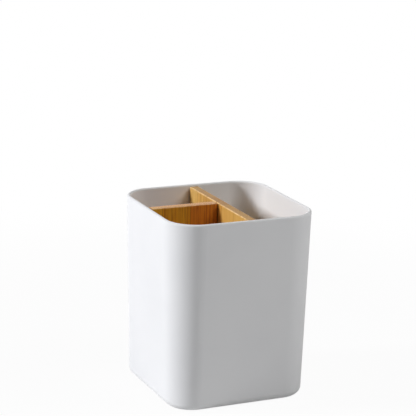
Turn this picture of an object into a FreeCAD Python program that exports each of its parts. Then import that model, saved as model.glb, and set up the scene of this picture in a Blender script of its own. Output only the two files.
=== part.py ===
import FreeCAD, Part
import math
import os
from FreeCAD import Vector

# Toothbrush holder: a square moulded cup with a bamboo T divider that lifts out.
# Millimetres, +Z up, front at -Y, origin on the standing plane under the middle of the cup.

# Cup
overall_height = 105.0     # standing plane to the crest of the rim
rim_width = 85.0           # outside, flat to flat at the rim
base_width = 80.0          # outside, flat to flat where the drafted walls reach the underside
rim_corner = 17.5          # outside radius of the upright corners at the rim
wall = 2.1                 # measured level
floor_thickness = 2.6
base_round = 4.0           # outer edge of the underside
floor_round = 3.0          # inner edge of the floor
rim_land = 0.1             # flat left on the crest between its two rounds
gate_width = 6.0           # moulding dimple in the middle of the underside
gate_depth = 0.4
gate_slope = 0.5           # width of the dimple's sloping edge

# Anti-slip pads
pad_width = 9.0
pad_thickness = 1.6
pad_stand = 0.6            # height at which the pads hold the underside
pad_inset = 14.0           # pad centre from the sides of the base
pad_chamfer = 0.3          # lower edge of a pad
pad_play = 0.15            # gap round a pad in its pocket

# Divider boards
board_thickness = 5.0
board_drop = 0.9           # top of the boards below the crest of the rim
board_play = 0.7           # gap between the board ends and the walls
board_ease = 0.5           # rounding along all board edges
top_corner = 0.8           # upper corners and the corners at the T joint
foot_corner = 4.5          # lower corners, clear of the round at the edge of the floor
long_board_offset = 2.6    # middle of the long board, right of the cup's middle
cross_board_offset = 2.45  # middle of the cross board, behind the cup's middle

# Dowels of the T joint
dowel_width = 2.5
dowel_length = 13.0
dowel_bite = 3.2           # length held in the long board
dowel_chamfer = 0.4
dowel_margin = 24.0        # dowels from the upper and lower edges of the boards
dowel_end_play = 0.3       # empty end of each dowel hole
glue_line = 0.05           # round the dowels
joint_gap = 0.5            # open joint between the boards, bridged by the dowels

# Shared by all cuts and edge picks
overrun = 2.0
same_place = 0.001

# Levels and faces that follow from the sizes
base_level = pad_stand
floor_level = base_level + floor_thickness
board_top = overall_height - board_drop
corner_centre = rim_width / 2 - rim_corner
draft_slope = (rim_width - base_width) / 2 / (overall_height - base_level)

long_left_face = long_board_offset - board_thickness / 2
cross_front_face = cross_board_offset - board_thickness / 2
cross_joint_end = long_left_face - joint_gap
dowel_levels = {"lower_dowel": floor_level + dowel_margin, "upper_dowel": board_top - dowel_margin}

to_right = Vector(1, 0, 0)
to_back = Vector(0, 1, 0)
upward = Vector(0, 0, 1)


def outer_half_width(level):
    return base_width / 2 + draft_slope * (level - base_level)


def rounded_square(inset, level):
    radius = outer_half_width(level) - inset - corner_centre
    edges = []
    last_end = None
    first_start = None
    for quarter in range(4):
        middle_angle = math.radians(45 + 90 * quarter)
        centre = Vector(math.copysign(corner_centre, math.cos(middle_angle)),
                        math.copysign(corner_centre, math.sin(middle_angle)), level)
        spots = []
        for turn in (-45, 0, 45):
            angle = middle_angle + math.radians(turn)
            spots.append(centre + Vector(radius * math.cos(angle), radius * math.sin(angle), 0))
        if last_end is None:
            first_start = spots[0]
        else:
            edges.append(Part.LineSegment(last_end, spots[0]).toShape())
        edges.append(Part.Arc(*spots).toShape())
        last_end = spots[2]
    edges.append(Part.LineSegment(last_end, first_start).toShape())
    return Part.Wire(edges)


def drafted_block(inset, low, high):
    return Part.makeLoft([rounded_square(inset, low), rounded_square(inset, high)], True, True)


def edges_at(shape, direction, distance):
    found = []
    for edge in shape.Edges:
        if all(abs(vertex.Point.dot(direction) - distance) < same_place for vertex in edge.Vertexes):
            found.append(edge)
    return found


def pad_centres():
    reach = base_width / 2 - pad_inset
    centres = {}
    for depth_name, depth_sign in (("front", -1), ("back", 1)):
        for side_name, side_sign in (("left", -1), ("right", 1)):
            name = "foot_pad_" + depth_name + "_" + side_name
            centres[name] = Vector(side_sign * reach, depth_sign * reach, 0)
    return centres


def make_cup():
    body = drafted_block(0, base_level, overall_height)
    body = body.makeFillet(base_round, edges_at(body, upward, base_level))
    hollow = drafted_block(wall, floor_level, overall_height + overrun)
    hollow = hollow.makeFillet(floor_round, edges_at(hollow, upward, floor_level))
    cup = body.cut(hollow)
    rim_round = (wall - rim_land) / 2
    cup = cup.makeFillet(rim_round, edges_at(cup, upward, overall_height))

    # Round pockets for the pads
    pocket_level = base_level + pad_thickness - pad_stand
    for centre in pad_centres().values():
        start = centre + upward * (base_level - overrun)
        pocket = Part.makeCylinder(pad_width / 2 + pad_play, pocket_level - start.z, start)
        cup = cup.cut(pocket)

    # Shallow dimple over the moulding gate
    dimple = Part.makeCone(gate_width / 2, gate_width / 2 - gate_slope, gate_depth, upward * base_level)
    return cup.cut(dimple)


def make_foot_pad(centre):
    pad = Part.makeCylinder(pad_width / 2, pad_thickness, centre)
    return pad.makeChamfer(pad_chamfer, edges_at(pad, upward, 0))


def eased_board(outline, corner_radii, direction):
    across = direction * board_thickness
    board = Part.Face(Part.makePolygon(outline + outline[:1])).extrude(across)
    for corner, radius in zip(outline, corner_radii):
        middle = corner + across / 2
        uprights = [edge for edge in board.Edges if edge.CenterOfMass.distanceToPoint(middle) < same_place]
        board = board.makeFillet(radius, uprights)
    near_face = outline[0].dot(direction)
    rims = edges_at(board, direction, near_face) + edges_at(board, direction, near_face + board_thickness)
    return board.makeFillet(board_ease, rims)


def board_reach(level):
    return outer_half_width(level) - wall - board_play


def dowel_line(level):
    return Vector(long_left_face, cross_board_offset, level)


def dowel_hole(level):
    length = dowel_length + 2 * dowel_end_play
    start = dowel_line(level) + to_right * (dowel_bite + dowel_end_play - length)
    return Part.makeCylinder(dowel_width / 2 + glue_line, length, start, to_right)


def make_long_divider():
    outline = [Vector(long_left_face, -board_reach(floor_level), floor_level),
               Vector(long_left_face, board_reach(floor_level), floor_level),
               Vector(long_left_face, board_reach(board_top), board_top),
               Vector(long_left_face, -board_reach(board_top), board_top)]
    board = eased_board(outline, [foot_corner, foot_corner, top_corner, top_corner], to_right)
    for level in dowel_levels.values():
        board = board.cut(dowel_hole(level))
    return board


def make_cross_divider():
    outline = [Vector(-board_reach(floor_level), cross_front_face, floor_level),
               Vector(cross_joint_end, cross_front_face, floor_level),
               Vector(cross_joint_end, cross_front_face, board_top),
               Vector(-board_reach(board_top), cross_front_face, board_top)]
    board = eased_board(outline, [foot_corner, top_corner, top_corner, top_corner], to_back)
    for level in dowel_levels.values():
        board = board.cut(dowel_hole(level))
    return board


def make_dowel(level):
    start = dowel_line(level) + to_right * (dowel_bite - dowel_length)
    dowel = Part.makeCylinder(dowel_width / 2, dowel_length, start, to_right)
    ends = edges_at(dowel, to_right, start.x) + edges_at(dowel, to_right, start.x + dowel_length)
    return dowel.makeChamfer(dowel_chamfer, ends)


def make_all():
    nodes = {"cup": make_cup(), "long_divider": make_long_divider(), "cross_divider": make_cross_divider()}
    for name, level in dowel_levels.items():
        nodes[name] = make_dowel(level)
    for name, centre in pad_centres().items():
        nodes[name] = make_foot_pad(centre)
    return nodes


os.makedirs("parts", exist_ok=True)
for name, shape in make_all().items():
    shape.exportStep("parts/" + name + ".step")
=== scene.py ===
import math
import bmesh
import bpy
from mathutils import Matrix, Vector


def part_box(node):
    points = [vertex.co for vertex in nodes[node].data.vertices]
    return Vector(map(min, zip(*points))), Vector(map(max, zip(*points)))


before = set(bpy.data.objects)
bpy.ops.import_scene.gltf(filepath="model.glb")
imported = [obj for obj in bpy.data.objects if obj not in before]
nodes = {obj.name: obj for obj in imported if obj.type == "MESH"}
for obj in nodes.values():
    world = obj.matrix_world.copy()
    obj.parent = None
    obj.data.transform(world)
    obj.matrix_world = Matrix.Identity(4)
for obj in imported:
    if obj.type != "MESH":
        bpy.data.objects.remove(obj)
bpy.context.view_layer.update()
scene = bpy.context.scene
print("holder loaded:", ", ".join(sorted(nodes)))


class Tone:
    # one socket of a material; arithmetic on it adds Math nodes
    def __init__(self, tree, socket=None):
        self.tree = tree
        self.socket = socket

    def node(self, kind, settings=None, inputs=None, output=0):
        made = self.tree.nodes.new(kind)
        for name, value in (settings or {}).items():
            if name == "stops":
                ramp = made.color_ramp
                while len(ramp.elements) < len(value):
                    ramp.elements.new(0.5)
                for element, (place, colour) in zip(ramp.elements, value):
                    element.position = place
                    element.color = colour
            else:
                setattr(made, name, value)
        for name, value in (inputs or {}).items():
            if isinstance(value, Tone):
                self.tree.links.new(value.socket, made.inputs[name])
            else:
                made.inputs[name].default_value = value
        return Tone(self.tree, made.outputs[output] if made.outputs else None)

    def math(self, operation, *terms):
        return self.node("ShaderNodeMath", {"operation": operation}, dict(enumerate(terms)))

    def __add__(self, other):
        return self.math("ADD", self, other)

    __radd__ = __add__

    def __sub__(self, other):
        return self.math("SUBTRACT", self, other)

    def __rsub__(self, other):
        return self.math("SUBTRACT", other, self)

    def __mul__(self, other):
        return self.math("MULTIPLY", self, other)

    __rmul__ = __mul__

    def __truediv__(self, other):
        return self.math("DIVIDE", self, other)

    def __rtruediv__(self, other):
        return self.math("DIVIDE", other, self)

    def __abs__(self):
        return self.math("ABSOLUTE", self)

    def least(self, other):
        return self.math("MINIMUM", self, other)

    def most(self, other):
        return self.math("MAXIMUM", self, other)

    def swing(self):
        # a value from 0 to 1, measured from its middle
        return self - 0.5

    def rise(self, low, high):
        # 0 at low and below, 1 at high and above, smooth in the middle
        return self.node("ShaderNodeMapRange", {"interpolation_type": "SMOOTHSTEP"},
                         {"Value": self, "From Min": low, "From Max": high})

    def fall(self, low, high):
        return 1 - self.rise(low, high)

    def split(self):
        parts = self.node("ShaderNodeSeparateXYZ", {}, {"Vector": self}).socket.node
        return [Tone(self.tree, socket) for socket in parts.outputs]

    def join(self, *values):
        return self.node("ShaderNodeCombineXYZ", {}, dict(enumerate(values)))

    def noise(self, place, scale, detail=2.0):
        return self.node("ShaderNodeTexNoise", {},
                         {"Vector": place, "Scale": scale, "Detail": detail})

    def mix(self, first, second, blend="MIX"):
        # this value chooses between two colours, which are sockets 6 and 7 of a Mix node
        return self.node("ShaderNodeMix", {"data_type": "RGBA", "blend_type": blend},
                         {0: self, 6: first, 7: second}, 2)


def newMaterial(name):
    material = bpy.data.materials.new(name)
    material.use_nodes = True
    material.node_tree.nodes.clear()
    start = Tone(material.node_tree)
    return material, start, start.node("ShaderNodeTexCoord", output="Object")


def makeRelief(height, look):
    return height.node("ShaderNodeBump", {}, {
        "Height": height, "Distance": look["reliefDepth"], "Strength": look["reliefStrength"]})


def finishMaterial(material, start, settings):
    shader = start.node("ShaderNodeBsdfPrincipled", {}, settings)
    start.node("ShaderNodeOutputMaterial", {}, {"Surface": shader})
    return material


def dress(names, material):
    for name in names:
        piece = nodes[name]
        piece.data.materials.clear()
        piece.data.materials.append(material)


# Cup: white matte moulded plastic with a fine eroded mould texture
cupLook = {
    "white": (0.865, 0.868, 0.875, 1),
    "cloud": (0.838, 0.842, 0.852, 1),  # faint cloudiness of the pigment
    "cloudSize": 0.045,
    "cloudDetail": 3.0,
    "cloudRange": (0.35, 0.75),        # part of the noise that counts as cloud
    "grainSize": 0.00028,
    "grainRelief": 0.6,
    "pitSize": 0.0009,
    "pitDetail": 3.0,
    "pitRelief": 0.4,
    "reliefDepth": 0.00008,
    "reliefStrength": 0.8,
    "scuff": (0.90, 0.89, 0.87, 1),    # how handling greys the foot and the crest of the rim
    "rimBand": 0.0012,                 # polished by fingers
    "rimPatches": (0.45, 0.75),
    "rimScuff": 0.3,
    "footBand": 0.004,                 # rubbed by the shelf
    "footPatches": (0.35, 0.65),
    "footScuff": 0.5,
    "roughness": 0.75,
    "cloudRough": 0.08,                # spread of the roughness from cloud to cloud
    "grainRough": 0.12,
    "rimPolish": 0.1,
    "footRough": 0.08,
    "ior": 1.49,
    "shine": 0.25,
}


def makeCupPlastic(look):
    material, start, place = newMaterial("cupPlastic")
    low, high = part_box("cup")
    tall = place.split()[2]
    cloud = start.noise(place, 1 / look["cloudSize"], look["cloudDetail"])
    grain = start.noise(place, 1 / look["grainSize"])
    pits = start.noise(place, 1 / look["pitSize"], look["pitDetail"])
    rim = tall.rise(high[2] - look["rimBand"], high[2])
    foot = tall.fall(low[2], low[2] + look["footBand"]) * pits.rise(*look["footPatches"])
    colour = cloud.rise(*look["cloudRange"]).mix(look["white"], look["cloud"])
    marks = foot * look["footScuff"] + rim * pits.rise(*look["rimPatches"]) * look["rimScuff"]
    colour = marks.mix(colour, look["scuff"], "MULTIPLY")
    rough = look["roughness"] + cloud.swing() * look["cloudRough"]
    rough = rough + grain.swing() * look["grainRough"]
    rough = rough - rim * look["rimPolish"] + foot * look["footRough"]
    relief = grain * look["grainRelief"] + pits * look["pitRelief"]
    return finishMaterial(material, start, {
        "Base Color": colour, "Roughness": rough, "Normal": makeRelief(relief, look),
        "IOR": look["ior"], "Specular IOR Level": look["shine"]})


dress(["cup"], makeCupPlastic(cupLook))
print("cup dressed")


# Divider boards: caramel bamboo glued up from upright strips, thin matte lacquer
boardLook = {
    "strip": 0.0165,                   # width of one strip
    "stripStep": (0.0371, 0.0913),     # moves the pattern on from strip to strip
    "stripSpread": 0.2,                # how far the strips differ in tone
    "pale": (0.75, 0.49, 0.155, 1),
    "golden": (0.68, 0.39, 0.093, 1),
    "deep": (0.57, 0.285, 0.05, 1),
    "flesh": 0.5,                      # mean tone, from deep at 0 to pale at 1
    "fleshRange": (0.25, 0.78),
    "red": (0.68, 0.29, 0.037, 1),     # the warmer strips
    "redShare": 0.15,
    "redRange": (0.4, 0.9),            # draws that make a strip warmer
    "figure": 0.45,                    # how strongly the fibres stripe the faces
    "wander": 0.0012,                  # how far a fibre strays sideways
    "wanderScale": 22.0,
    "slant": 0.035,                    # a vein leaves the face again after a while
    "streakScale": 420.0,
    "streakDetail": 3.0,
    "streakStretch": 0.02,             # the smaller, the longer the streaks
    "streakShare": 0.65,
    "fibreScale": 3000.0,
    "fibreShare": 0.35,
    "vein": (0.60, 0.46, 0.30, 1),     # how the fibre bundles darken the flesh
    "veinSpacing": 0.00075,
    "veinRadius": 0.27,                # share of the spacing
    "veinEdge": (0.6, 1.3),            # from full to gone, in radii
    "veinLeast": 0.3,
    "veinGain": 0.6,                   # added where a dash is at its darkest
    "dashScale": 700.0,
    "dashDetail": 1.0,
    "dashStretch": 0.15,
    "dashRange": (0.35, 0.7),
    "skinTurn": (0.49, 0.51),          # draws past these turn the skin side round
    "skinGain": 0.9,                   # how much larger the veins are on the skin side
    "knotChance": (0.5, 0.55),         # draws past these give a knot
    "knotLowest": 0.01,
    "knotSpan": 0.085,
    "knotBow": 0.004,
    "knotReach": 0.0022,
    "knotTone": 0.35,
    "knotFray": 0.0006,
    "knotLine": (0.00012, 0.0004),     # from full to gone
    "knotLineTone": 0.5,
    "glue": (0.30, 0.22, 0.16, 1),
    "glueLine": (0.00005, 0.00016),
    "glueTone": 0.8,
    "edge": 0.0005,                    # rounding of the edges
    "rubbedAndHighlight": (0.90, 0.68, 0.38, 1),   # lacquer worn thin along the top edges, made paler than wear alone: partly a painted highlight on the rounded edges
    "wornAndHighlightReach": 0.0005,               # down the faces and in over the top
    "wornAndHighlightRange": (0.0001, 0.0004),     # how far into that reach
    "wornAndHighlightPatches": (0.25, 0.65),
    "wornAndHighlightTone": 0.8,
    "end": (0.62, 0.535, 0.30, 1),     # how the lacquer tones the end grain
    "endSkin": 0.0001,                 # all end grain from this far below the top
    "endCalm": 0.7,                    # the ends show less of the stripes
    "endRedCalm": 0.8,
    "fibreRelief": 0.5,
    "veinRelief": 0.5,
    "knotRelief": 0.6,
    "reliefDepth": 0.00003,
    "reliefStrength": 0.6,
    "roughness": 0.4,
    "fibreRough": 0.2,
    "veinRough": 0.08,
    "endRough": 0.04,                  # how much rougher the ends are than the faces
    "wornPolish": 0.06,
    "ior": 1.5,
    "shine": 0.4,
}
longBoardLook = {
    **boardLook, "across": "Y", "depth": "X", "along": "Z",
    "shift": 0.0042,                   # where the strips start
    "draw": 4.0,                       # picks another set of strips
    "rubbedAndHighlight": (0.94, 0.63, 0.28, 1),   # its top edges are paler still: mostly a painted highlight along the rounded top edges, over some wear
    "wornAndHighlightReach": 0.0007,
    "wornAndHighlightRange": (0.00005, 0.0004),
    "wornAndHighlightPatches": (0.2, 0.6),
    "wornAndHighlightTone": 0.9,
    "wornPolish": 0.12,
}
crossBoardShadedLook = {
    **boardLook, "across": "X", "depth": "Y", "along": "Z",
    "shift": 0.0,
    "draw": 9.0,
    # these tones are the long board's bamboo painted darker and more orange: painted shade, with
    # painted warm light bounced between the boards
    "pale": (0.72, 0.385, 0.034, 1),
    "golden": (0.66, 0.285, 0.012, 1),
    "deep": (0.55, 0.20, 0.006, 1),
    "red": (0.565, 0.142, 0.011, 1),
    # the large red share is partly real red strips and partly painted warm bounced light
    "redShare": 0.75,
    "figure": 0.6,
    "end": (0.97, 0.93, 0.90, 1),
    "endRough": -0.14,                 # this one has its ends lacquered smooth
}
dowelLook = {
    **boardLook, "across": "Y", "depth": "Z", "along": "X",
    "shift": 0.003,
    "draw": 2.0,
}


def makeBamboo(name, look):
    material, start, place = newMaterial(name + "Bamboo")
    low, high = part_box(name)
    order = ["XYZ".index(look[key]) for key in ("across", "depth", "along")]
    coordinates = place.split()
    wide, thick, tall = (coordinates[axis] for axis in order)
    top = high[order[2]]
    middle = (low[order[1]] + high[order[1]]) / 2
    half = (high[order[1]] - low[order[1]]) / 2

    # each strip draws its own tone, slant and knot
    count = (wide + look["shift"]) / look["strip"]
    number = count.math("FLOOR", count)
    fromMiddle = count.math("FRACT", count).swing()
    chance = start.node("ShaderNodeTexWhiteNoise", {"noise_dimensions": "1D"},
                        {"W": number + look["draw"]}, "Color")
    luck, turn, level = chance.split()

    # the fibres wander a little and slant out of the face
    wideStep, thickStep = look["stripStep"]
    stray = start.noise(start.join(tall, number, 0.0), look["wanderScale"])
    cutWide = wide + stray.swing() * look["wander"] + number * wideStep
    cutThick = thick + tall * turn.swing() * look["slant"] + number * thickStep
    drawnOut = start.join(cutWide, cutThick, tall * look["streakStretch"])
    streak = start.noise(drawnOut, look["streakScale"], look["streakDetail"])
    fibre = start.noise(drawnOut, look["fibreScale"])

    # flesh of the strips, calmer on the ends
    endGrain = tall.rise(top - look["edge"], top - look["endSkin"])
    grain = (streak * look["streakShare"] + fibre * look["fibreShare"]).swing()
    stripes = grain * look["figure"] * (1 - endGrain * look["endCalm"])
    flesh = look["flesh"] + stripes + luck.swing() * look["stripSpread"]
    stops = [(0.0, look["deep"]), (0.5, look["golden"]), (1.0, look["pale"])]
    colour = start.node("ShaderNodeValToRGB", {"stops": stops},
                        {"Fac": flesh.rise(*look["fleshRange"])})
    redness = level.rise(*look["redRange"]) * (1 - endGrain * look["endRedCalm"])
    colour = (redness * look["redShare"]).mix(colour, look["red"])

    # fibre bundles: dots on the ends, long dashes on the faces, larger towards the skin side
    cut = start.join(cutWide, cutThick, 0.0)
    cells = start.node("ShaderNodeTexVoronoi", {"voronoi_dimensions": "2D"},
                       {"Vector": cut, "Scale": 1 / look["veinSpacing"]})
    skinSide = (thick - middle) / (2 * half) * (turn.rise(*look["skinTurn"]) * 2 - 1)
    radius = look["veinRadius"] * (1 + skinSide * look["skinGain"])
    vein = (cells / radius).fall(*look["veinEdge"])
    dashPlace = start.join(cutWide, cutThick, tall * look["dashStretch"])
    dash = start.noise(dashPlace, look["dashScale"], look["dashDetail"])
    strength = look["veinLeast"] + dash.rise(*look["dashRange"]) * look["veinGain"]
    colour = (vein * strength).mix(colour, look["vein"], "MULTIPLY")

    # a knot crosses some of the strips
    knotLevel = look["knotLowest"] + level * look["knotSpan"]
    fromKnot = tall - knotLevel - fromMiddle * fromMiddle * look["knotBow"]
    knotted = luck.rise(*look["knotChance"])
    knot = abs(fromKnot).fall(0.0, look["knotReach"]) * knotted
    frayed = fromKnot + fibre.swing() * look["knotFray"]
    knotLine = abs(frayed).fall(*look["knotLine"]) * knotted
    knotTone = knot * look["knotTone"] + knotLine * look["knotLineTone"]
    colour = knotTone.mix(colour, look["vein"], "MULTIPLY")

    # glue lines between the strips, the tone of the end grain, and paler top edges that are
    # partly wear and partly a painted highlight
    toSide = (0.5 - abs(fromMiddle)) * look["strip"]
    glue = toSide.fall(*look["glueLine"])
    colour = (glue * look["glueTone"]).mix(colour, look["glue"], "MULTIPLY")
    colour = endGrain.mix(colour, look["end"], "MULTIPLY")
    reach = look["wornAndHighlightReach"]
    intoEdge = (abs(thick - middle) - (half - reach)).least(tall - (top - reach))
    wornAndHighlit = intoEdge.rise(*look["wornAndHighlightRange"]) * streak.rise(*look["wornAndHighlightPatches"])
    # paler top edges: worn lacquer plus a painted highlight where the rounded edge would catch
    # the lamp
    colour = (wornAndHighlit * look["wornAndHighlightTone"]).mix(colour, look["rubbedAndHighlight"])

    relief = fibre * look["fibreRelief"] + vein * look["veinRelief"]
    relief = relief - glue - knotLine * look["knotRelief"]
    rough = look["roughness"] + fibre.swing() * look["fibreRough"] + vein * look["veinRough"]
    rough = rough + endGrain * look["endRough"] - wornAndHighlit * look["wornPolish"]
    return finishMaterial(material, start, {
        "Base Color": colour, "Roughness": rough, "Normal": makeRelief(relief, look),
        "IOR": look["ior"], "Specular IOR Level": look["shine"]})


for name, look in (("long_divider", longBoardLook), ("cross_divider", crossBoardShadedLook),
                   ("upper_dowel", dowelLook), ("lower_dowel", dowelLook)):
    dress([name], makeBamboo(name, look))
print("divider dressed")


# Foot pads: grey soft rubber
padLook = {
    "grey": (0.5, 0.5, 0.49, 1),
    "dust": (0.64, 0.64, 0.62, 1),
    "dustRange": (0.4, 0.7),
    "speckSize": 0.0006,
    "speckDetail": 4.0,
    "reliefDepth": 0.00005,
    "reliefStrength": 0.5,
    "roughness": 0.75,
    "speckRough": 0.2,
}


def makePadRubber(look):
    material, start, place = newMaterial("padRubber")
    speck = start.noise(place, 1 / look["speckSize"], look["speckDetail"])
    return finishMaterial(material, start, {
        "Base Color": speck.rise(*look["dustRange"]).mix(look["grey"], look["dust"]),
        "Roughness": look["roughness"] + speck.swing() * look["speckRough"],
        "Normal": makeRelief(speck, look)})


dress([name for name in nodes if name.startswith("foot_pad")], makePadRubber(padLook))
print("pads dressed")


# Studio: pale floor, white surround, soft light from the left
studio = {
    "floorSize": 6.0,
    "floorColour": (0.78, 0.78, 0.78, 1),
    "white": (1, 1, 1, 1),
    "whiteShare": 0.95,                # how much of the floor round the cup shows as plain white
    "shadowReach": 0.15,               # that share holds up to here
    "clearReach": 0.4,                 # from here on the floor is all white
    "worldLight": 0.06,
    "lampAim": (0.0, 0.0, 0.055),
    "keyPlace": (-2.108, 0.604, 1.031),
    "keySize": 0.45,
    "keyPower": 48.0,
    "keyColour": (0.985, 0.993, 1.02),
    "fillPlace": (0.579, -0.406, 0.898),
    "fillSize": 0.5,
    "fillPower": 4.6,
    "fillColour": (1.0, 0.995, 0.985),
    "softPlace": (0.183, -0.683, 0.898),
    "softSize": 0.5,
    "softPower": 0.9,
    "softColour": (1.0, 1.0, 1.0),
}


def seenDirectly(start):
    rays = ("Is Camera Ray", "Is Glossy Ray", "Is Transmission Ray")
    camera, glossy, through = (start.node("ShaderNodeLightPath", output=ray) for ray in rays)
    return camera.most(glossy).most(through)


def makeFloor(look):
    shape = bmesh.new()
    bmesh.ops.create_grid(shape, x_segments=1, y_segments=1, size=look["floorSize"] / 2)
    mesh = bpy.data.meshes.new("floor")
    shape.to_mesh(mesh)
    shape.free()
    floor = bpy.data.objects.new("floor", mesh)
    scene.collection.objects.link(floor)
    material, start, place = newMaterial("floorWhite")
    matte = start.node("ShaderNodeBsdfDiffuse", {}, {"Color": look["floorColour"]})
    plain = start.node("ShaderNodeEmission", {}, {"Color": look["white"], "Strength": 1.0})
    across, back = place.split()[:2]
    away = across * across + back * back
    clear = away.rise(look["shadowReach"] ** 2, look["clearReach"] ** 2)
    share = seenDirectly(start) * (look["whiteShare"] + clear * (1 - look["whiteShare"]))
    both = start.node("ShaderNodeMixShader", {}, {0: share, 1: matte, 2: plain})
    start.node("ShaderNodeOutputMaterial", {}, {"Surface": both})
    mesh.materials.append(material)


def makeWorld(look):
    world = bpy.data.worlds.new("whiteSurround")
    world.use_nodes = True
    world.node_tree.nodes.clear()
    start = Tone(world.node_tree)
    strength = look["worldLight"] + seenDirectly(start) * (1 - look["worldLight"])
    surround = start.node("ShaderNodeBackground", {},
                          {"Color": look["white"], "Strength": strength})
    start.node("ShaderNodeOutputWorld", {}, {"Surface": surround})
    scene.world = world


def makeLamp(name, look):
    place = Vector(look[name + "Place"])
    light = bpy.data.lights.new(name + "Lamp", "AREA")
    light.size = look[name + "Size"]
    light.energy = look[name + "Power"]
    light.color = look[name + "Colour"]
    lamp = bpy.data.objects.new(name + "Lamp", light)
    lamp.location = place
    lamp.rotation_euler = (Vector(look["lampAim"]) - place).to_track_quat("-Z", "Y").to_euler()
    scene.collection.objects.link(lamp)


makeFloor(studio)
makeWorld(studio)
for name in ("key", "fill", "soft"):
    makeLamp(name, studio)
scene.view_settings.view_transform = "Standard"
print("studio lit")


# Camera: where the photograph was taken from
shot = {
    "azimuth": -24.5681,
    "elevation": 17.5719,
    "roll": 1.4697,
    "distance": 0.924942,
    "focalPixels": 1662.208,
    "frame": 416.0,                    # pixels across the picture
    "aim": (0.0, 0.0, 0.0528),
    "aimPixel": (215.87, 292.61),      # where the aim shows in the picture
    "sensorWidth": 36.0,
    "clipStart": 0.01,
}


def makeCamera(look):
    turn, rise, roll = (math.radians(look[key]) for key in ("azimuth", "elevation", "roll"))
    back = Vector((math.sin(turn) * math.cos(rise), -math.cos(turn) * math.cos(rise),
                   math.sin(rise)))
    side = Vector((math.cos(turn), math.sin(turn), 0))
    up = back.cross(side)
    level = Matrix((side * math.cos(roll) + up * math.sin(roll),
                    up * math.cos(roll) - side * math.sin(roll), back))
    middle = look["frame"] / 2
    aimAcross, aimDown = look["aimPixel"]
    toAim = Vector((aimAcross - middle, middle - aimDown, -look["focalPixels"]))
    swing = Vector((0, 0, -1)).rotation_difference(toAim).to_matrix()
    lens = bpy.data.cameras.new("camera")
    lens.sensor_width = look["sensorWidth"]
    lens.lens = look["focalPixels"] * look["sensorWidth"] / look["frame"]
    lens.clip_start = look["clipStart"]
    camera = bpy.data.objects.new("camera", lens)
    place = Vector(look["aim"]) + back * look["distance"]
    turned = level.transposed() @ swing.transposed()
    camera.matrix_world = Matrix.Translation(place) @ turned.to_4x4()
    scene.collection.objects.link(camera)
    scene.camera = camera


makeCamera(shot)
print("camera placed")
